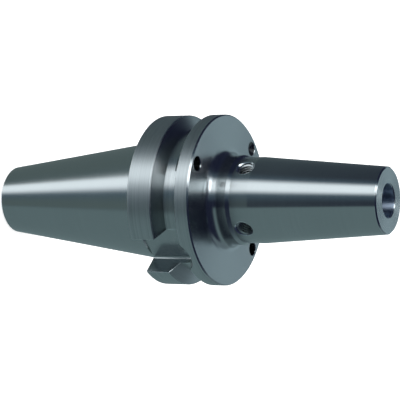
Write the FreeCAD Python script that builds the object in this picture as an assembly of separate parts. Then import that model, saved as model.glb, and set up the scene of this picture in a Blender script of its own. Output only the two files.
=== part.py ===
import FreeCAD, Part
import math
import os

from FreeCAD import Vector

# Shrink fit tool holder: a size 40 steep taper shank, a gripper flange and a slim nose whose
# plain bore is heated to let a 12 mm tool shank in and out, with its length stop screw.
#
# Millimetres. +Z is the spindle axis and points at the nose. The origin is the centre of the
# gauge plane, where the taper has its nominal diameter. The two drive slots lie along Y.

# Steep taper shank
GAUGE_D = 44.45
TAPER_RATE = 7 / 24  # diameter gained for each millimetre of length
SHANK_L = 65.4  # gauge plane to the small end
SHANK_CHAMFER = 0.6
TAPER_RUNOUT = 0.4  # ground taper that goes on past the gauge plane
RELIEF_DEPTH = 0.6  # grinding relief between the taper and the flange
RELIEF_CHAMFER = 0.4

# Gripper flange
FLANGE_D = 63.0
FLANGE_BACK = 2.0  # gauge plane to the flange's rear face
FLANGE_CHAMFER = 0.5
REAR_RING_T = 9.6  # rear face to the gripper groove
GROOVE_W = 10.0  # across its mouth
FRONT_RING_T = 5.4  # gripper groove to the front face
GROOVE_DEPTH = 5.0
GROOVE_ANGLE = 60.0  # between its two flanks
GROOVE_CHAMFER = 0.25

# Drive slots
SLOT_W = 16.1
SLOT_FLOOR_RISE = 0.375  # the slot's flat floor, further out than the gauge diameter
SLOT_STRAIGHT = 4.4  # how far its straight sides reach into the gripper groove
SLOT_FILLET = 0.8
SLOT_CHAMFER = 0.22

# Neck and nose cone
NOSE_REACH = 90.0  # gauge plane to the nose face
NOSE_D = 24.0
NOSE_CHAMFER = 0.5
CONE_HALF_ANGLE = 4.5
NECK_L = 15.35  # flange's front face to the start of the cone
COLLAR_STEP = 0.75  # the collar, further out than the neck
COLLAR_L = 6.9  # flange's front face to the collar's edge
COLLAR_ANGLE = 30.0  # slope of the step from the collar down to the neck
FLANGE_FILLET = 3.5

# Tool bore
TOOL_D = 12.0
TOOL_DEPTH = 47.0
TOOL_CHAMFER = 0.4

# Length stop screw, a fine thread with a hexagon socket and a coolant hole
STOP_THREAD_STEP = 1.0  # the stop screw's thread, further in than the tool bore
STOP_THREAD_GAP = 0.05  # between the screw and its thread, all round
STOP_THREAD_CHAMFER = 0.5
STOP_SCREW_L = 16.0
STOP_SCREW_CHAMFER = 0.8
STOP_SOCKET_AF = 5.0  # across its flats
STOP_SOCKET_DEPTH = 6.0
STOP_COOLANT_D = 3.6
STOP_THREAD_SPARE = 5.0  # thread left behind the screw when it is right back

# Coolant passage and pull stud socket
COOLANT_STEP = 1.0  # the coolant passage, further in than the stop screw's thread
STUD_THREAD_D = 16.0
STUD_THREAD_L = 26.0  # small end to the end of the thread
STUD_PILOT_STEP = 0.5  # the pull stud's pilot, further out than its thread
STUD_PILOT_L = 6.0
STUD_MOUTH_CHAMFER = 1.0

# Tapped holes round the neck for balancing screws
NECK_HOLE_COUNT = 4
NECK_HOLE_D = 6.0
NECK_HOLE_FLARE = 0.6  # how much wider the mouth is, all round
NECK_HOLE_PLACE = 12.2  # flange's front face to the hole's axis
NECK_HOLE_WALL = 2.4  # left between the hole's point and the stop screw's thread

# Balancing holes drilled in the flange's front face, unevenly placed and of uneven depth
FACE_HOLES = ((6, 0.7), (93, 0.1), (200, 1))  # angle, and share of the depth that there is
FACE_HOLE_D = 5.2
FACE_HOLE_FLARE = 0.2
FACE_HOLE_EDGE = 4.1  # the hole's axis to the flange's rim
FACE_HOLE_WALL = 1.5  # left between the deepest hole and the gripper groove

DRILL_POINT = 118.0
OVERRUN = 1.0  # how far a cutter passes the surface that it opens
TOUCH = 0.01  # nearer than this counts as lying on a surface

# Radii and places that follow from the sizes above
gauge_r = GAUGE_D / 2
flange_r = FLANGE_D / 2
groove_back = FLANGE_BACK + REAR_RING_T
groove_front = groove_back + GROOVE_W
flange_front = groove_front + FRONT_RING_T
groove_slope = math.tan(math.radians(GROOVE_ANGLE / 2))
groove_root_r = flange_r - GROOVE_DEPTH
groove_root_back = groove_back + GROOVE_DEPTH * groove_slope
groove_root_front = groove_front - GROOVE_DEPTH * groove_slope
slot_r = SLOT_W / 2
slot_floor = gauge_r + SLOT_FLOOR_RISE
slot_round_z = groove_back + SLOT_STRAIGHT
nose_r = NOSE_D / 2
cone_start = flange_front + NECK_L
neck_r = nose_r + (NOSE_REACH - cone_start) * math.tan(math.radians(CONE_HALF_ANGLE))
tool_r = TOOL_D / 2
bore_end = NOSE_REACH - TOOL_DEPTH
stop_r = tool_r - STOP_THREAD_STEP
stop_thread_end = bore_end - STOP_SCREW_L - STOP_THREAD_SPARE

ORIGIN = Vector(0, 0, 0)
AXIS = Vector(0, 0, 1)


def taper_radius(z):
    return (GAUGE_D + TAPER_RATE * z) / 2


# Length of a drill's point at this radius
def point_length(radius):
    return radius / math.tan(math.radians(DRILL_POINT / 2))


# One corner of a turned outline, as the points where its edge begins, bulges and ends. A corner
# is a radius and a height, with "chamfer" or "fillet" and a size where it isn't left sharp.
def corner_points(before, corner, after):
    place = Vector(corner[0], 0, corner[1])
    if len(corner) == 2:
        return [place]
    finish, size = corner[2:]
    back = (Vector(before[0], 0, before[1]) - place).normalize()
    onward = (Vector(after[0], 0, after[1]) - place).normalize()
    if finish == "chamfer":
        return [place + back * size, place + onward * size]
    half = back.getAngle(onward) / 2
    reach = size / math.tan(half)
    bulge = (back + onward).normalize() * (size / math.sin(half) - size)
    return [place + back * reach, place + bulge, place + onward * reach]


# A solid turned about the axis from the corners of one closed outline
def turned(corners):
    count = len(corners)
    blends = []
    for n, corner in enumerate(corners):
        blends.append(corner_points(corners[n - 1], corner, corners[(n + 1) % count]))
    edges = []
    for n, blend in enumerate(blends):
        if len(blend) == 3:
            edges.append(Part.Arc(*blend).toShape())
        elif len(blend) == 2:
            edges.append(Part.LineSegment(*blend).toShape())
        edges.append(Part.LineSegment(blend[-1], blends[(n + 1) % count][0]).toShape())
    return Part.Face(Part.Wire(edges)).revolve(ORIGIN, AXIS, 360)


# The holder's outside as it leaves the lathe and the grinder
def holder_blank():
    relief_r = gauge_r - RELIEF_DEPTH
    collar_r = neck_r + COLLAR_STEP
    collar_edge = flange_front + COLLAR_L
    neck_start = collar_edge + COLLAR_STEP / math.tan(math.radians(COLLAR_ANGLE))
    return turned([
        (0, -SHANK_L),
        (taper_radius(-SHANK_L), -SHANK_L, "chamfer", SHANK_CHAMFER),
        (taper_radius(TAPER_RUNOUT), TAPER_RUNOUT),
        (relief_r, TAPER_RUNOUT + RELIEF_DEPTH),
        (relief_r, FLANGE_BACK, "chamfer", RELIEF_CHAMFER),
        (flange_r, FLANGE_BACK, "chamfer", FLANGE_CHAMFER),
        (flange_r, groove_back, "chamfer", GROOVE_CHAMFER),
        (groove_root_r, groove_root_back),
        (groove_root_r, groove_root_front),
        (flange_r, groove_front, "chamfer", GROOVE_CHAMFER),
        (flange_r, flange_front, "chamfer", FLANGE_CHAMFER),
        (collar_r, flange_front, "fillet", FLANGE_FILLET),
        (collar_r, collar_edge),
        (neck_r, neck_start),
        (neck_r, cone_start),
        (nose_r, NOSE_REACH, "chamfer", NOSE_CHAMFER),
        (0, NOSE_REACH),
    ])


# The cutter for a drive slot, on the +X side. Its foot is the flat floor, open at the rear face,
# with a full round end, and the foot's edge leaves a fillet in the slot.
def slot_cutter():
    start = FLANGE_BACK - OVERRUN
    near_start = Vector(slot_floor, -slot_r, start)
    near_end = Vector(slot_floor, -slot_r, slot_round_z)
    tip = Vector(slot_floor, 0, slot_round_z + slot_r)
    far_end = Vector(slot_floor, slot_r, slot_round_z)
    far_start = Vector(slot_floor, slot_r, start)
    foot = Part.Wire([
        Part.LineSegment(near_start, near_end).toShape(),
        Part.Arc(near_end, tip, far_end).toShape(),
        Part.LineSegment(far_end, far_start).toShape(),
        Part.LineSegment(far_start, near_start).toShape(),
    ])
    height = flange_r + OVERRUN - slot_floor
    block = Part.Face(foot).extrude(Vector(height, 0, 0))
    walled = [edge for edge in block.Edges if lies_on_floor(edge)]
    return block.makeFillet(SLOT_FILLET, walled)


# Whether an edge of the slot cutter goes round its foot, the open end left out
def lies_on_floor(edge):
    return edge.BoundBox.XMax < slot_floor + TOUCH and edge.BoundBox.ZMax > FLANGE_BACK


# Whether an edge is one where a slot's wall comes out through the flange. Left out are the wall's
# own seams, which run outwards, and the short edges where it crosses the gripper groove's floor.
def is_slot_rim(edge):
    box = edge.BoundBox
    runs_outwards = box.YLength < TOUCH and box.ZLength < TOUCH
    if runs_outwards and box.ZMin > FLANGE_BACK + TOUCH:
        return False
    span = edge.LastParameter - edge.FirstParameter
    for share in (0.1, 0.5, 0.9):
        point = edge.valueAt(edge.FirstParameter + span * share)
        past_straight = max(0, point.z - slot_round_z)
        off_wall = abs(math.hypot(point.y, past_straight) - slot_r)
        off_root = abs(math.hypot(point.x, point.y) - groove_root_r)
        above_fillet = abs(point.x) - slot_floor - SLOT_FILLET
        if off_wall > TOUCH or off_root < TOUCH or above_fillet < TOUCH:
            return False
    return True


# Both drive slots, milled into the blank and their rims broken
def with_drive_slots(blank):
    body = blank
    for angle in (0, 180):
        body = body.cut(slot_cutter().rotate(ORIGIN, AXIS, angle))
    rims = [edge for edge in body.Edges if is_slot_rim(edge)]
    return body.makeChamfer(SLOT_CHAMFER, rims).rotate(ORIGIN, AXIS, 90)


# All that is hollow along the axis: pull stud socket, coolant passage, stop thread, tool bore
def axial_hollow():
    small_end = -SHANK_L
    pilot_end = small_end + STUD_PILOT_L
    stud_r = STUD_THREAD_D / 2
    stud_end = small_end + STUD_THREAD_L
    pilot_r = stud_r + STUD_PILOT_STEP
    coolant_r = stop_r - COOLANT_STEP
    return turned([
        (0, small_end - OVERRUN),
        (pilot_r + STUD_MOUTH_CHAMFER + OVERRUN, small_end - OVERRUN),
        (pilot_r, small_end + STUD_MOUTH_CHAMFER),
        (pilot_r, pilot_end),
        (stud_r, pilot_end + STUD_PILOT_STEP),
        (stud_r, stud_end),
        (coolant_r, stud_end + point_length(stud_r) - point_length(coolant_r)),
        (coolant_r, stop_thread_end - point_length(stop_r) + point_length(coolant_r)),
        (stop_r, stop_thread_end),
        (stop_r, bore_end - STOP_THREAD_CHAMFER),
        (stop_r + STOP_THREAD_CHAMFER, bore_end),
        (tool_r, bore_end),
        (tool_r, NOSE_REACH - TOOL_CHAMFER),
        (tool_r + TOOL_CHAMFER + OVERRUN, NOSE_REACH + OVERRUN),
        (0, NOSE_REACH + OVERRUN),
    ])


# The cutter for a blind hole with a flared mouth at the origin, drilled down Z. The depth leaves
# out the drill's point. A tapped hole is as wide as its thread's crests and has no thread.
def blind_hole(diameter, flare, depth):
    radius = diameter / 2
    return turned([
        (0, -depth - point_length(radius)),
        (radius, -depth),
        (radius, -flare),
        (radius + flare + OVERRUN, OVERRUN),
        (0, OVERRUN),
    ])


# Tapped holes all round the neck, square to the axis
def neck_holes():
    depth = neck_r - stop_r - NECK_HOLE_WALL - point_length(NECK_HOLE_D / 2)
    hole = blind_hole(NECK_HOLE_D, NECK_HOLE_FLARE, depth)
    hole.rotate(ORIGIN, Vector(0, 1, 0), 90)
    hole.translate(Vector(neck_r, 0, flange_front + NECK_HOLE_PLACE))
    turn = 360 / NECK_HOLE_COUNT
    return [hole.copy().rotate(ORIGIN, AXIS, n * turn) for n in range(NECK_HOLE_COUNT)]


# Balancing holes in the flange's front face, the deepest as deep as the gripper groove allows
def face_holes():
    axis_r = flange_r - FACE_HOLE_EDGE
    outermost_r = axis_r + FACE_HOLE_D / 2
    groove_z = groove_root_front + (outermost_r - groove_root_r) * groove_slope
    deepest = flange_front - groove_z - FACE_HOLE_WALL
    holes = []
    for angle, share in FACE_HOLES:
        hole = blind_hole(FACE_HOLE_D, FACE_HOLE_FLARE, deepest * share)
        hole.translate(Vector(axis_r, 0, flange_front))
        holes.append(hole.rotate(ORIGIN, AXIS, angle))
    return holes


def holder_body():
    body = with_drive_slots(holder_blank())
    return body.cut([axial_hollow(), *neck_holes(), *face_holes()])


# The length stop screw, right back, its front end level with the end of the tool bore
def stop_screw():
    screw_r = stop_r - STOP_THREAD_GAP
    back = bore_end - STOP_SCREW_L
    blank = turned([
        (0, back),
        (screw_r, back, "chamfer", STOP_SCREW_CHAMFER),
        (screw_r, bore_end, "chamfer", STOP_SCREW_CHAMFER),
        (0, bore_end),
    ])
    coolant_r = STOP_COOLANT_D / 2
    coolant_l = STOP_SCREW_L + 2 * OVERRUN
    coolant_hole = Part.makeCylinder(coolant_r, coolant_l, Vector(0, 0, back - OVERRUN), AXIS)
    return blank.cut([hexagon_socket(), coolant_hole])


# The cutter for the stop screw's socket: a hexagonal prism with a drill's point below it
def hexagon_socket():
    floor_z = bore_end - STOP_SOCKET_DEPTH
    flat_r = STOP_SOCKET_AF / 2
    corner_r = flat_r / math.cos(math.radians(30))
    corners = []
    for n in range(7):
        angle = math.radians(60 * n)
        corners.append(Vector(corner_r * math.cos(angle), corner_r * math.sin(angle), floor_z))
    prism = Part.Face(Part.makePolygon(corners)).extrude(AXIS * (STOP_SOCKET_DEPTH + OVERRUN))
    point = turned([(0, floor_z - point_length(flat_r)), (flat_r, floor_z), (0, floor_z)])
    return prism.fuse(point)


os.makedirs("parts", exist_ok=True)
holder_body().exportStep("parts/holder_body.step")
stop_screw().exportStep("parts/stop_screw.step")
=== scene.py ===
import math
import bmesh
import bpy
from mathutils import Matrix, Vector


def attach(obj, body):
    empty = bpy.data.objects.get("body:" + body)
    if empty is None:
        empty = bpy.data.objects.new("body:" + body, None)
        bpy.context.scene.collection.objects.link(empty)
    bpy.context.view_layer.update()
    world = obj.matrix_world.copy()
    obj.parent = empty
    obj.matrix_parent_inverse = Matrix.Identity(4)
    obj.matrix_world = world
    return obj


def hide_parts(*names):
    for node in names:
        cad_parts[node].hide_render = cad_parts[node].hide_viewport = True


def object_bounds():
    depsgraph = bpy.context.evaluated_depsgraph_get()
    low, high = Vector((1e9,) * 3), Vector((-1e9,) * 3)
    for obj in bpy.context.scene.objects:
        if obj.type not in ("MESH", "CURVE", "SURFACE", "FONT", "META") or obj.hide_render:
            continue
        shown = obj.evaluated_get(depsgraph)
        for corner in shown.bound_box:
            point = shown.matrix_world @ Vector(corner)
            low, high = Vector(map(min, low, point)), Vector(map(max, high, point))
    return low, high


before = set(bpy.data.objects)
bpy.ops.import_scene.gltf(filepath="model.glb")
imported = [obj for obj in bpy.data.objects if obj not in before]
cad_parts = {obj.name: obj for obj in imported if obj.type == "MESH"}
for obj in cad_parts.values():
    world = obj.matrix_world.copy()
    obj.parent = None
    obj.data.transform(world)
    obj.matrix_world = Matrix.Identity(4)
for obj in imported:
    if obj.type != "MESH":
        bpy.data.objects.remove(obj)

# Shrink fit tool holder, in metres, standing on its small end. The CAD model gives the holder and
# its stop screw; this script adds the cut threads, the steel, the studio and the camera.
mm = 0.001
cadLow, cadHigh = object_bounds()
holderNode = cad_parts["holder_body"]
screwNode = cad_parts["stop_screw"]


# One value of a node tree. Python's arithmetic on it adds Math nodes.
class Wire:
    def __init__(self, board, socket):
        self.board = board
        self.socket = socket

    def math(self, operation, *values):
        sockets = dict(enumerate(values))
        return self.board.node("ShaderNodeMath", {"operation": operation}, sockets)

    def __add__(self, other):
        return self.math("ADD", self, other)

    def __radd__(self, other):
        return self.math("ADD", other, self)

    def __sub__(self, other):
        return self.math("SUBTRACT", self, other)

    def __rsub__(self, other):
        return self.math("SUBTRACT", other, self)

    def __mul__(self, other):
        return self.math("MULTIPLY", self, other)

    def __rmul__(self, other):
        return self.math("MULTIPLY", other, self)

    def __truediv__(self, other):
        return self.math("DIVIDE", self, other)

    def sqrt(self):
        return self.math("SQRT", self)

    def sine(self):
        return self.math("SINE", self)

    def cosine(self):
        return self.math("COSINE", self)

    # The value without its sign
    def size(self):
        return self.math("ABSOLUTE", self)

    def least(self, other):
        return self.math("MINIMUM", self, other)

    def most(self, other):
        return self.math("MAXIMUM", self, other)

    # 0 below the first value, 1 above the second, smooth between them
    def ramp(self, start, end):
        sockets = {"Value": self, 1: start, 2: end}
        return self.board.node("ShaderNodeMapRange", {"interpolation_type": "SMOOTHSTEP"}, sockets)

    # 1 between two values and 0 outside them, with soft edges
    def within(self, low, high, soft):
        return self.ramp(low - soft, low + soft) * (1 - self.ramp(high - soft, high + soft))


# A node tree that nodes are added to by type, settings and sockets
class Board:
    def __init__(self, tree):
        self.tree = tree

    def node(self, kind, settings=None, sockets=None, out=0):
        made = self.tree.nodes.new(kind)
        for name, value in (settings or {}).items():
            setattr(made, name, value)
        for key, value in (sockets or {}).items():
            if isinstance(value, Wire):
                self.tree.links.new(value.socket, made.inputs[key])
            else:
                made.inputs[key].default_value = value
        return Wire(self, made.outputs[out]) if made.outputs else made

    # b where the factor is 1 and a where it is 0, as colours
    def blend(self, factor, a, b):
        sockets = {0: factor, 6: a, 7: b}
        return self.node("ShaderNodeMix", {"data_type": "RGBA"}, sockets, out=2)

    def vector(self, x, y, z):
        return self.node("ShaderNodeCombineXYZ", {}, {0: x, 1: y, 2: z})

    def split(self, vector):
        parts = {0: vector}
        return [self.node("ShaderNodeSeparateXYZ", {}, parts, out=n) for n in range(3)]

    # Unevenness round a middle of 0.5. The grain is its scale, detail and roughness.
    def noise(self, place, grain):
        scale, detail, roughness = grain
        sockets = {"Vector": place, "Scale": scale, "Detail": detail, "Roughness": roughness}
        return self.node("ShaderNodeTexNoise", {}, sockets)


def emptyMaterial(name):
    made = bpy.data.materials.new(name)
    made.use_nodes = True
    made.node_tree.nodes.clear()
    return made, Board(made.node_tree)


def colour(red, green, blue):
    return (red, green, blue, 1)


# 1 where the mask is 0, and the share where the mask is 1
def shadeBy(mask, share):
    return 1 + mask * (share - 1.0)


# The camera. It looks down on the holder from the nose's side, and lies on its side so that the
# nose points right.
camera = {
    "azimuth": -42.0,
    "elevation": 27.93,
    "roll": 0.17,
    "distance": 623.34 * mm,
    "slideRight": 13.485 * mm,
    "slideUp": -0.052 * mm,
    "lens": 149.45,
    "sensor": 36.0,
    "nearest": 0.01,
    "furthest": 50.0,
}


# The direction from the holder to the camera
def towardsCamera(look):
    azimuth = math.radians(look["azimuth"])
    elevation = math.radians(look["elevation"])
    outward = Vector((math.sin(azimuth), -math.cos(azimuth), 0))
    return outward * math.cos(elevation) + Vector((0, 0, math.sin(elevation)))


def placeCamera(look):
    back = towardsCamera(look)
    axis = Vector((0, 0, 1))
    right = (axis - back * back.z).normalized()
    up = back.cross(right)
    roll = Matrix.Rotation(math.radians(look["roll"]), 3, back)
    right = roll @ right
    up = roll @ up
    place = back * look["distance"] + right * look["slideRight"] + up * look["slideUp"]
    turn = Matrix((right, up, back)).transposed()
    data = bpy.data.cameras.new("camera")
    data.lens = look["lens"]
    data.sensor_width = look["sensor"]
    data.clip_start = look["nearest"]
    data.clip_end = look["furthest"]
    made = bpy.data.objects.new("camera", data)
    made.matrix_world = Matrix.Translation(place) @ turn.to_4x4()
    bpy.context.scene.collection.objects.link(made)
    bpy.context.scene.camera = made


placeCamera(camera)
print("camera placed")

# The studio: a round room of dark walls and sheets of light, which stands round the holder for the
# steel to mirror. Angles are in degrees. A sheet's azimuth is measured clockwise, seen from above,
# from the photographer's side. It is either the sheet's own ("around", 0 to 360) or that of the
# surfaces that mirror it towards the photographer ("facing", -180 to 180). The elevation is the
# sheet's own. The light fades from one edge inside each limit to one edge outside it.
studio = {
    "radius": 20.0,
    "segments": 48,
    "rings": 24,
    "front": 270.0 + camera["azimuth"],  # the photographer's side, anticlockwise from +X
    "walls": colour(0.022, 0.027, 0.057),
    "sheets": [
        # azimuth by, from, to, edge, elevation from, to, edge, colour
        ("facing", -10.0, 200.0, 1.2, -95.0, -22.0, 16.0, colour(0.165, 0.22, 0.22)),
        ("facing", -200.0, -10.0, 1.2, -95.0, 15.0, 12.0, colour(0.214, 0.296, 0.31)),
        ("around", 205.0, 242.0, 5.0, 0.0, 50.0, 6.0, colour(0.20, 0.26, 0.29)),
        ("around", 169.0, 191.0, 4.0, -95.0, -8.0, 6.0, colour(1.00, 1.05, 1.10)),
        ("facing", 2.5, 32.5, 7.5, -95.0, 70.0, 14.0, colour(0.12, 0.18, 0.23)),
        ("facing", 10.7, 26.2, 4.5, 50.0, 110.0, 9.0, colour(0.36, 0.38, 0.41)),
        ("facing", 10.7, 26.2, 4.5, -95.0, 62.0, 8.0, colour(1.66, 1.75, 1.82)),
        ("facing", 12.0, 25.0, 4.0, 42.0, 66.0, 5.0, colour(4.00, 4.20, 4.40)),
        ("facing", 23.6, 70.0, 3.0, -95.0, -38.0, 7.0, colour(0.165, 0.22, 0.22)),
        ("around", 150.0, 210.0, 6.0, 0.0, 36.0, 5.0, colour(0.37, 0.48, 0.53)),
    ],
}


def buildStudio(look):
    form = bmesh.new()
    count = {"u_segments": look["segments"], "v_segments": look["rings"]}
    bmesh.ops.create_uvsphere(form, radius=look["radius"], **count)
    mesh = bpy.data.meshes.new("studio")
    form.to_mesh(mesh)
    form.free()
    material, board = emptyMaterial("studioSheets")
    place = board.node("ShaderNodeTexCoord", out="Object")
    ray = board.node("ShaderNodeVectorMath", {"operation": "NORMALIZE"}, {0: place})
    shift = {0: ray, 1: towardsCamera(camera)}
    middle = board.node("ShaderNodeVectorMath", {"operation": "ADD"}, shift)
    azimuths = {}
    for name, direction, least in (("around", ray, 0), ("facing", middle, -180)):
        x, y = board.split(direction)[:2]
        turned = look["front"] - y.math("ARCTAN2", y, x) * math.degrees(1)
        azimuths[name] = turned.math("WRAP", turned, least + 360, least)
    height = board.split(ray)[2]
    above = height.math("ARCSINE", height) * math.degrees(1)
    seen = look["walls"]
    for by, left, right, edge, low, high, fade, glow in look["sheets"]:
        mask = azimuths[by].within(left, right, edge) * above.within(low, high, fade)
        seen = board.blend(mask, seen, glow)
    glow = board.node("ShaderNodeEmission", {}, {"Color": seen})
    board.node("ShaderNodeOutputMaterial", {}, {"Surface": glow})
    mesh.materials.append(material)
    made = bpy.data.objects.new("studio", mesh)
    made.visible_camera = False
    made.visible_diffuse = False
    bpy.context.scene.collection.objects.link(made)


# 1 for direct, mirrored and refracted rays, which get the full white where they reach it
def whiteRays(board):
    direct, mirrored, refracted = [
        board.node("ShaderNodeLightPath", out=name)
        for name in ("Is Camera Ray", "Is Glossy Ray", "Is Transmission Ray")
    ]
    return direct + mirrored + refracted


# The white background, and the softer light that it gives to all other rays
background = {"seen": colour(1, 1, 1), "soft": colour(0.8, 0.8, 0.8)}


def buildBackground(look):
    world = bpy.data.worlds.new("background")
    world.use_nodes = True
    world.node_tree.nodes.clear()
    board = Board(world.node_tree)
    bpy.context.scene.world = world
    shown = board.blend(whiteRays(board), look["soft"], look["seen"])
    glow = board.node("ShaderNodeBackground", {}, {"Color": shown})
    board.node("ShaderNodeOutputWorld", {}, {"Surface": glow})


# The floor, which renders as white, and a weak lamp high up beside the holder
floor = {
    "halfWidth": 3.0,
    "white": colour(0.9, 0.9, 0.9),
    "lift": 0.6,  # light for the rays that get the full white
}
lamp = {"place": (-0.55, 0.5, 1.0), "size": 0.9, "watts": 9.0}


def buildFloor(look):
    half = look["halfWidth"]
    low = cadLow.z
    corners = [(-half, -half, low), (half, -half, low), (half, half, low), (-half, half, low)]
    mesh = bpy.data.meshes.new("floor")
    mesh.from_pydata(corners, [], [(0, 1, 2, 3)])
    material, board = emptyMaterial("paleFloor")
    matt = board.node("ShaderNodeBsdfDiffuse", {}, {"Color": look["white"]})
    lift = board.node("ShaderNodeEmission", {}, {"Strength": whiteRays(board) * look["lift"]})
    both = board.node("ShaderNodeAddShader", {}, {0: matt, 1: lift})
    # From below, the floor is clear
    clear = board.node("ShaderNodeBsdfTransparent")
    under = board.node("ShaderNodeNewGeometry", out="Backfacing")
    shown = board.node("ShaderNodeMixShader", {}, {0: under, 1: both, 2: clear})
    board.node("ShaderNodeOutputMaterial", {}, {"Surface": shown})
    mesh.materials.append(material)
    made = bpy.data.objects.new("floor", mesh)
    made.visible_glossy = False
    bpy.context.scene.collection.objects.link(made)


def buildLamp(look):
    data = bpy.data.lights.new("lamp", "AREA")
    data.shape = "DISK"
    data.size = look["size"]
    data.energy = look["watts"]
    made = bpy.data.objects.new("lamp", data)
    made.location = look["place"]
    made.rotation_mode = "QUATERNION"
    made.rotation_quaternion = Vector(look["place"]).to_track_quat("Z", "Y")
    made.visible_glossy = False
    bpy.context.scene.collection.objects.link(made)


buildStudio(studio)
buildBackground(background)
buildFloor(floor)
buildLamp(lamp)
bpy.context.scene.view_settings.view_transform = "Standard"
print("studio built")

# The holder's steel. Heights and radii are in millimetres, along and from the spindle axis.
holderSteel = {
    "colour": colour(0.42, 0.45, 0.455),
    # where the honed finish shows, a bluer colour: a painted reflection tint that makes the bore
    # read navy
    "honedReflectionTint": colour(0.36, 0.43, 0.52),
    "finishes": {
        "ground": {"roughness": 0.24, "anisotropy": 0.8},
        "turned": {"roughness": 0.37, "anisotropy": 0.65},
        "honed": {"roughness": 0.46, "anisotropy": 0.98},
    },
    "lay": 0.25,  # turns the stretch of the shine square to the marks
    # Shade and streaks go into the colour, rougher is added to the roughness, marks is the height
    # of the tool's marks, and turned and honed are how much of those two finishes shows
    "plain": {
        "shade": 1.0, "streaks": 0.14, "rougher": 0.0, "marks": 0.8, "turned": 0.0, "honed": 0.0,
    },
    "zones": {
        "rims": {
            "height": (2.2, 26.3), "radius": (31.2, 32.0), "shade": 1.15, "streaks": 0.65,
            "rougher": 0.06, "marks": 1.3, "turned": 1.0,
        },
        "rearFace": {"height": (1.8, 2.2), "radius": (22.5, 31.2), "marks": 1.0, "turned": 1.0},
        # the groove's rear flank, painted darker: painted shade in the groove
        "grooveFlank": {"height": (11.2, 14.6), "radius": (26.6, 31.45), "shade": 0.75},
        "grooveFloor": {"height": (14.0, 19.2), "radius": (26.3, 26.6), "streaks": 0.8},
        "frontFace": {"height": (26.9, 27.2), "radius": (18.0, 31.2), "marks": 0.35},
        "collar": {"height": (27.1, 35.0), "radius": (14.0, 20.0), "marks": 0.1, "rougher": -0.05},
        "neck": {"height": (34.8, 42.3), "radius": (15.0, 16.5), "marks": 0.2, "rougher": -0.03},
        "nose": {"height": (42.3, 91.0), "radius": (11.0, 15.8), "marks": 0.35, "rougher": -0.05},
        "noseFace": {"height": (89.8, 91.0), "radius": (5.0, 11.6), "marks": 0.3, "rougher": 0.02},
        # the bore, painted brighter: a painted reflection that brightens the band it mirrors
        "bore": {
            "height": (43.0, 89.7), "radius": (0.0, 6.3), "shade": 1.3, "marks": 0.2, "honed": 1.0,
        },
        "drilled": {
            "height": (-66.0, 43.0), "radius": (0.0, 10.0), "shade": 0.7, "marks": 1.0,
            "turned": 1.0,
        },
    },
    "softEdge": 0.05,  # of every zone, and of the sides of the slots' edges and walls
    "rings": (1.0, 5.0, 0.62),
    "marksPerMm": 1.6,
    "marksPerRadian": 0.35,
    "markDepth": 0.0035 * mm,
    "patches": (60.0, 3.0, 0.5),
    "patchShade": 0.1,
    "uneven": {"rings": 0.1, "patches": 0.05, "worn": 0.05},  # what each changes in roughness
    "edges": [
        # radius and height of the turned edges that handling has rubbed bright
        (12.0, 89.5), (11.5, 90.0), (6.4, 90.0), (31.0, 27.0), (31.5, 26.5), (31.5, 21.85),
        (31.5, 11.35), (31.5, 2.5), (31.0, 2.0), (12.5, -64.8),
    ],
    "edgeWidth": (0.066, 0.22),  # fully rubbed up to the first, and not at all past the second
    "edgePatches": (0.3, 0.6),
    "edgeShade": 1.25,
    # The broken edges and the walls of the drive slots, which lie on +Y and -Y, painted lighter: a
    # painted highlight on the edges and painted light on the walls. Tilt is how far they face
    # aside, from 0 to 1.
    "slotEdge": {
        "aside": (7.75, 8.6), "outwards": (23.8, 24.0), "tilt": (0.35, 0.93), "tiltEdge": 0.03,
        "shade": 2.0,
    },
    "slotWall": {
        "aside": (7.9, 8.2), "outwards": (22.6, 22.8), "tilt": (0.96, 0.99), "shade": 1.3,
    },
    # The tapped holes round the neck and the plain holes in the front face. Shade is painted shade
    # inside the holes, and rimShade is a painted highlight on the neck holes' rims.
    "neckHoles": {
        "height": 39.2, "beyond": (8.5, 9.0), "radius": 3.0, "edge": 0.03, "shade": 0.3,
        "rim": 3.5, "rimEdge": 0.02, "rimShade": 1.7,
    },
    "faceHoles": {
        "angles": (6, 93, 200), "ring": 27.4, "height": (18.0, 26.75), "heightEdge": 0.1,
        "radius": 2.6, "edge": 0.05, "shade": 0.3,
    },
}


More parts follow.
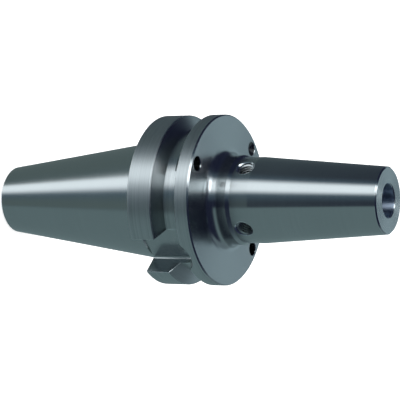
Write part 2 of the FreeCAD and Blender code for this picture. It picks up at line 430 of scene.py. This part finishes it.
def buildHolderSteel(look):
    material, board = emptyMaterial("holderSteel")
    place = board.node("ShaderNodeTexCoord", out="Object")
    x, y, z = board.split(place)
    height = z / mm
    radius = (x * x + y * y).sqrt() / mm
    turn = x.math("ARCTAN2", y, x)
    soft = look["softEdge"]
    value = dict(look["plain"])
    for zone in look["zones"].values():
        mask = height.within(*zone["height"], soft) * radius.within(*zone["radius"], soft)
        for name, usual in look["plain"].items():
            if name in zone:
                value[name] = mask * (zone[name] - usual) + value[name]

    # Rings left by the tool and the wheel, slightly uneven round the part
    along = (height + radius) * look["marksPerMm"]
    rings = board.noise(board.vector(along, turn * look["marksPerRadian"], 0.0), look["rings"])
    patches = board.noise(place, look["patches"])

    # Turned edges rubbed bright
    worn = 0.0
    for edgeRadius, edgeHeight in look["edges"]:
        beside = radius - edgeRadius
        above = height - edgeHeight
        off = (beside * beside + above * above).sqrt()
        worn = (1 - off.ramp(*look["edgeWidth"])).most(worn)
    worn = worn * patches.ramp(*look["edgePatches"])
    shade = value["shade"] * shadeBy(worn, look["edgeShade"])

    # The slots' broken edges face half aside, and their walls face right aside. Both are painted
    # lighter: a painted highlight on the edges and painted light on the walls.
    normal = board.node("ShaderNodeTexCoord", out="Normal")
    tilt = board.split(normal)[0].size()
    aside = x.size() / mm
    outwards = y.size() / mm
    edge = look["slotEdge"]
    broken = aside.within(*edge["aside"], soft) * tilt.within(*edge["tilt"], edge["tiltEdge"])
    shade = shade * shadeBy(broken * outwards.ramp(*edge["outwards"]), edge["shade"])
    wall = look["slotWall"]
    upright = aside.within(*wall["aside"], soft) * tilt.ramp(*wall["tilt"])
    shade = shade * shadeBy(upright * outwards.ramp(*wall["outwards"]), wall["shade"])

    # The neck's holes lie along X and Y. Their rims are painted bright, a painted highlight, and
    # their insides are painted dark, a painted shade.
    holes = look["neckHoles"]
    mouth = holes["radius"] + holes["edge"]
    beside = aside.least(outwards)
    above = height - holes["height"]
    off = (beside * beside + above * above).sqrt()
    near = radius.ramp(*holes["beyond"])
    rim = near * off.within(mouth, holes["rim"], holes["rimEdge"])
    inside = near * (1 - off.ramp(holes["radius"], mouth))
    shade = shade * shadeBy(rim, holes["rimShade"]) * shadeBy(inside, holes["shade"])

    # The holes in the front face are painted dark inside, a painted shade
    holes = look["faceHoles"]
    mouth = holes["radius"] + holes["edge"]
    for angle in holes["angles"]:
        beside = x / mm - math.cos(math.radians(angle)) * holes["ring"]
        above = y / mm - math.sin(math.radians(angle)) * holes["ring"]
        off = (beside * beside + above * above).sqrt()
        inside = 1 - off.ramp(holes["radius"], mouth)
        inside = inside * height.within(*holes["height"], holes["heightEdge"])
        shade = shade * shadeBy(inside, holes["shade"])

    streaked = (rings - 0.5) * value["streaks"] + 1
    patchy = (patches - 0.5) * look["patchShade"] + 1
    shade = shade * streaked * patchy
    grey = board.vector(shade, shade, shade)
    tint = {0: grey, 1: board.blend(value["honed"], look["colour"], look["honedReflectionTint"])}
    tinted = board.node("ShaderNodeVectorMath", {"operation": "MULTIPLY"}, tint)
    share = look["uneven"]
    uneven = value["rougher"] + (rings - 0.5) * share["rings"]
    uneven = uneven + (patches - 0.5) * share["patches"] - worn * share["worn"]
    bump = board.node("ShaderNodeBump", {}, {
        "Strength": 1.0,
        "Distance": look["markDepth"],
        "Height": rings * value["marks"],
    })
    skin = None
    for name, finish in look["finishes"].items():
        layer = board.node("ShaderNodeBsdfPrincipled", {}, {
            "Base Color": tinted,
            "Metallic": 1.0,
            "Roughness": uneven + finish["roughness"],
            "Anisotropic": finish["anisotropy"],
            "Anisotropic Rotation": look["lay"],
            "Normal": bump,
        })
        mixed = {0: value.get(name), 1: skin, 2: layer}
        skin = board.node("ShaderNodeMixShader", {}, mixed) if skin else layer
    board.node("ShaderNodeOutputMaterial", {}, {"Surface": skin})
    return material


holderMaterial = buildHolderSteel(holderSteel)
for place in holderNode.material_slots:
    place.material = holderMaterial
print("holder's steel made")

# The stop screw's steel, black from its oxide bath, with the crests of its thread rubbed
screwSteel = {
    "black": colour(0.060, 0.058, 0.062),
    "brown": colour(0.095, 0.082, 0.075),
    "bare": colour(0.30, 0.31, 0.32),
    "grain": (900.0, 4.0, 0.6),
    "grainDepth": 0.004 * mm,
    "patches": (180.0, 3.0, 0.5),
    "brownPatches": (0.42, 0.66),
    "rubbedRadius": (4.66, 4.74),  # up to the crest of its thread
    "rubbedGrain": (0.35, 0.6),
    "roughness": 0.36,
    "uneven": 0.2,
    "rubbedSmoother": 0.08,
}


def buildScrewSteel(look):
    material, board = emptyMaterial("screwSteel")
    place = board.node("ShaderNodeTexCoord", out="Object")
    x, y = board.split(place)[:2]
    radius = (x * x + y * y).sqrt() / mm
    grain = board.noise(place, look["grain"])
    patches = board.noise(place, look["patches"])
    oxide = board.blend(patches.ramp(*look["brownPatches"]), look["black"], look["brown"])
    rubbed = radius.ramp(*look["rubbedRadius"]) * grain.ramp(*look["rubbedGrain"])
    shown = board.blend(rubbed, oxide, look["bare"])
    uneven = look["roughness"] + (grain - 0.5) * look["uneven"]
    bump = board.node("ShaderNodeBump", {}, {"Distance": look["grainDepth"], "Height": grain})
    skin = board.node("ShaderNodeBsdfPrincipled", {}, {
        "Base Color": shown,
        "Metallic": 1.0,
        "Roughness": uneven - rubbed * look["rubbedSmoother"],
        "Normal": bump,
    })
    board.node("ShaderNodeOutputMaterial", {}, {"Surface": skin})
    return material


screwMaterial = buildScrewSteel(screwSteel)
print("screw's steel made")

# The steel of the cut threads, as smooth as the tap leaves it
threadSteel = {
    "colour": colour(0.42, 0.45, 0.455),
    "grain": (700.0, 3.0, 0.5),
    "grainDepth": 0.004 * mm,
    "roughness": 0.28,
    "uneven": 0.2,
}


def buildThreadSteel(look):
    material, board = emptyMaterial("threadSteel")
    place = board.node("ShaderNodeTexCoord", out="Object")
    grain = board.noise(place, look["grain"])
    bump = board.node("ShaderNodeBump", {}, {"Distance": look["grainDepth"], "Height": grain})
    skin = board.node("ShaderNodeBsdfPrincipled", {}, {
        "Base Color": look["colour"],
        "Metallic": 1.0,
        "Roughness": look["roughness"] + (grain - 0.5) * look["uneven"],
        "Normal": bump,
    })
    board.node("ShaderNodeOutputMaterial", {}, {"Surface": skin})
    return material


threadMaterial = buildThreadSteel(threadSteel)
print("threads' steel made")

# Cut threads. Each is a right-hand ridge swept along a helix, in millimetres. The rise is how far
# the ridge stands from the radius of its foot. Its side is 1 where it stands inwards, in a hole,
# and -1 where it stands outwards, on a screw. Foot and crest are shares of the pitch. The stop
# screw slides here without turning, so its crests run inside those of its hole, and both are low.
neckThread = {
    "radius": 3.02, "pitch": 1.0, "length": 5.7, "rise": 0.55, "foot": 0.86, "crest": 0.22,
    "side": 1.0, "holes": 4, "ring": 9.4, "height": 39.2, "tilt": 90.0,
}
studThread = {
    "radius": 8.03, "pitch": 2.0, "length": 19.4, "rise": 1.1, "foot": 0.86, "crest": 0.25,
    "side": 1.0, "holes": 1, "ring": 0.0, "height": -58.9, "tilt": 0.0,
}
stopThread = {
    "radius": 5.02, "pitch": 1.0, "length": 20.4, "rise": 0.2, "foot": 0.86, "crest": 0.25,
    "side": 1.0, "holes": 1, "ring": 0.0, "height": 22.0, "tilt": 0.0,
}
screwThread = {
    "radius": 4.39, "pitch": 1.0, "length": 14.6, "rise": 0.35, "foot": 0.72, "crest": 0.12,
    "side": -1.0, "holes": 1, "ring": 0.0, "height": 27.5, "tilt": 0.0,
}

# How every ridge is swept. At each end it runs out over half a turn, to a share of its section.
# The cut threads are shaded smooth up to the sharpest angle, in degrees.
threadSweep = {"stepsPerTurn": 36, "runOut": 0.5, "thinnest": 0.03, "sharpest": 35.0}


# The Geometry Nodes tree that sweeps a ridge and sets it out in a ring of holes
def buildThreadTree(look):
    tree = bpy.data.node_groups.new("threadRidge", "GeometryNodeTree")
    face = tree.interface
    face.new_socket("Geometry", in_out="OUTPUT", socket_type="NodeSocketGeometry")
    ridge = ("radius", "pitch", "length", "rise", "foot", "crest", "side")
    for name in ridge + ("ring", "height", "tilt"):
        face.new_socket(name, in_out="INPUT", socket_type="NodeSocketFloat")
    face.new_socket("holes", in_out="INPUT", socket_type="NodeSocketInt")
    face.new_socket("steel", in_out="INPUT", socket_type="NodeSocketMaterial")
    board = Board(tree)
    given = {}
    for socket in tree.nodes.new("NodeGroupInput").outputs:
        given[socket.name] = Wire(board, socket)

    rounds = given["length"] / given["pitch"]
    helix = board.node("GeometryNodeCurveSpiral", {}, {
        "Resolution": look["stepsPerTurn"],
        "Rotations": rounds,
        "Start Radius": given["radius"],
        "End Radius": given["radius"],
        "Height": given["length"],
        "Reverse": True,
    })
    upright = board.node("GeometryNodeSetCurveNormal", {"mode": "Z_UP"}, {"Curve": helix})
    section = board.node("GeometryNodeCurvePrimitiveQuadrilateral", {"mode": "TRAPEZOID"}, {
        "Bottom Width": given["foot"] * given["pitch"],
        "Top Width": given["crest"] * given["pitch"],
        "Offset": 0.0,
        "Height": given["rise"],
    })
    seat = board.vector(0.0, given["rise"] * 0.5, 0.0)
    seated = board.node("GeometryNodeTransform", {}, {"Geometry": section, "Translation": seat})
    lying = board.node("GeometryNodeTransform", {}, {
        "Geometry": seated,
        "Rotation": board.vector(0.0, 0.0, given["side"] * math.radians(90)),
    })
    share = board.node("GeometryNodeSplineParameter", out="Factor")
    begun = share * rounds / look["runOut"]
    left = (1 - share) * rounds / look["runOut"]
    fade = begun.least(left).least(1.0).most(look["thinnest"])
    swept = board.node("GeometryNodeCurveToMesh", {}, {
        "Curve": upright,
        "Profile Curve": lying,
        "Scale": fade,
        "Fill Caps": True,
    })

    turn = board.node("GeometryNodeInputIndex") * math.tau / given["holes"]
    across = turn.cosine() * given["ring"]
    beyond = turn.sine() * given["ring"]
    spots = board.node("GeometryNodePoints", {}, {
        "Count": given["holes"],
        "Position": board.vector(across, beyond, given["height"]),
    })
    placed = board.node("GeometryNodeInstanceOnPoints", {}, {
        "Points": spots,
        "Instance": swept,
        "Rotation": board.vector(0.0, given["tilt"] * math.radians(1), turn),
    })
    real = board.node("GeometryNodeRealizeInstances", {}, {"Geometry": placed})
    done = {"Geometry": real, "Material": given["steel"]}
    finished = board.node("GeometryNodeSetMaterial", {}, done)
    board.node("NodeGroupOutput", {}, {0: finished})
    return tree


threadTree = buildThreadTree(threadSweep)


# A thread as a plain mesh, in metres, with its faces pointing out of the ridge
def sweepThread(name, look, steel):
    maker = bpy.data.objects.new(name, bpy.data.meshes.new(name))
    bpy.context.scene.collection.objects.link(maker)
    modifier = maker.modifiers.new("thread", "NODES")
    modifier.node_group = threadTree
    for item in threadTree.interface.items_tree:
        if item.in_out == "INPUT":
            modifier[item.identifier] = steel if item.name == "steel" else look[item.name]
    graph = bpy.context.evaluated_depsgraph_get()
    mesh = bpy.data.meshes.new_from_object(maker.evaluated_get(graph))
    maker.modifiers.clear()
    maker.data = mesh
    mesh.transform(Matrix.Scale(mm, 4))
    form = bmesh.new()
    form.from_mesh(mesh)
    bmesh.ops.recalc_face_normals(form, faces=form.faces)
    form.to_mesh(mesh)
    form.free()
    return maker


# Shades a mesh smooth, apart from edges sharper than an angle in degrees
def smooth(mesh, sharpest):
    mesh.shade_smooth()
    mesh.set_sharp_from_angle(angle=math.radians(sharpest))


cutThreads = {"neckThread": neckThread, "studThread": studThread, "stopThread": stopThread}
for name, look in cutThreads.items():
    piece = sweepThread(name, look, threadMaterial)
    smooth(piece.data, threadSweep["sharpest"])
    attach(piece, "holder")
    print("cut", name, len(piece.data.polygons), "faces")

# The length stop screw: the CAD screw's form drawn in to the root of its thread, with the ridge
# on. Root and weld are in millimetres.
stopScrew = {"root": 4.42, "weld": 0.002, "sharpest": 25.0}


def buildStopScrew(look):
    ridge = sweepThread("stopScrewThread", screwThread, screwMaterial)
    form = bmesh.new()
    form.from_mesh(screwNode.data)
    bmesh.ops.remove_doubles(form, verts=form.verts, dist=look["weld"] * mm)
    root = look["root"] * mm
    for corner in form.verts:
        radius = math.hypot(corner.co.x, corner.co.y)
        if radius > root:
            corner.co.x *= root / radius
            corner.co.y *= root / radius
    form.from_mesh(ridge.data)
    mesh = bpy.data.meshes.new("stopScrew")
    form.to_mesh(mesh)
    form.free()
    bpy.data.objects.remove(ridge)
    mesh.materials.append(screwMaterial)
    smooth(mesh, look["sharpest"])
    made = bpy.data.objects.new("stopScrew", mesh)
    bpy.context.scene.collection.objects.link(made)
    return made


stopScrewPiece = buildStopScrew(stopScrew)
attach(stopScrewPiece, "stop_screw")
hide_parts("stop_screw")
print("stop screw made", len(stopScrewPiece.data.polygons), "faces")
